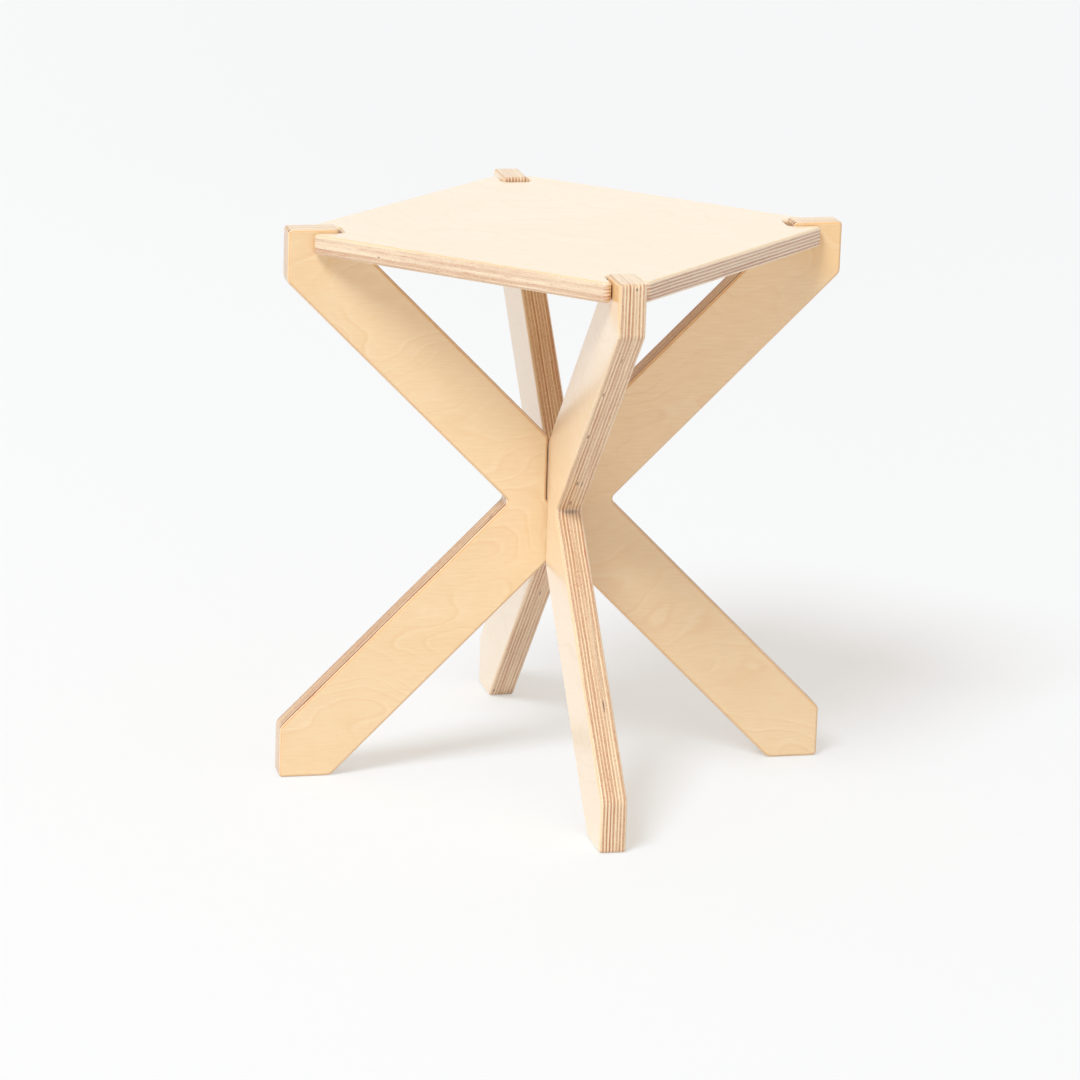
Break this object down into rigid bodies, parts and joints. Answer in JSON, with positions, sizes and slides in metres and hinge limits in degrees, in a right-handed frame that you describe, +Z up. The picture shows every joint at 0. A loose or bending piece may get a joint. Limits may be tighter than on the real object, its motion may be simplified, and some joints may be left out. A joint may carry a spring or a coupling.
{
  "type": "slot-together stool",
  "caption": "Knock-down plywood stool: two X-shaped panels halved into each other carry a square seat board notched over the arm tips.",
  "frame": {"origin": "on the floor, under the centre where the two panels cross", "axes": "+Z up, X along the lower panel, Y along the upper panel; the seat's sides run at 45 degrees to both"},
  "size_m": [0.5, 0.5, 0.5],
  "materials": {
    "lower_panel": "satin",
    "upper_panel": "satin",
    "seat": "satin"
  },
  "bodies": {
    "lower_panel": {"lower_cross_panel": "lower_panel"},
    "upper_panel": {"upper_cross_panel": "upper_panel"},
    "seat": {"seat_board": "seat"}
  },
  "joints": [
    {"name": "upper_panel_lift", "type": "slide", "parent": "lower_panel", "child": "upper_panel", "axis": [0, 0, 1], "range_m": [0, 0.32]},
    {"name": "seat_lift", "type": "slide", "parent": "upper_panel", "child": "seat", "axis": [0, 0, 1], "range_m": [0, 0.06]}
  ]
}
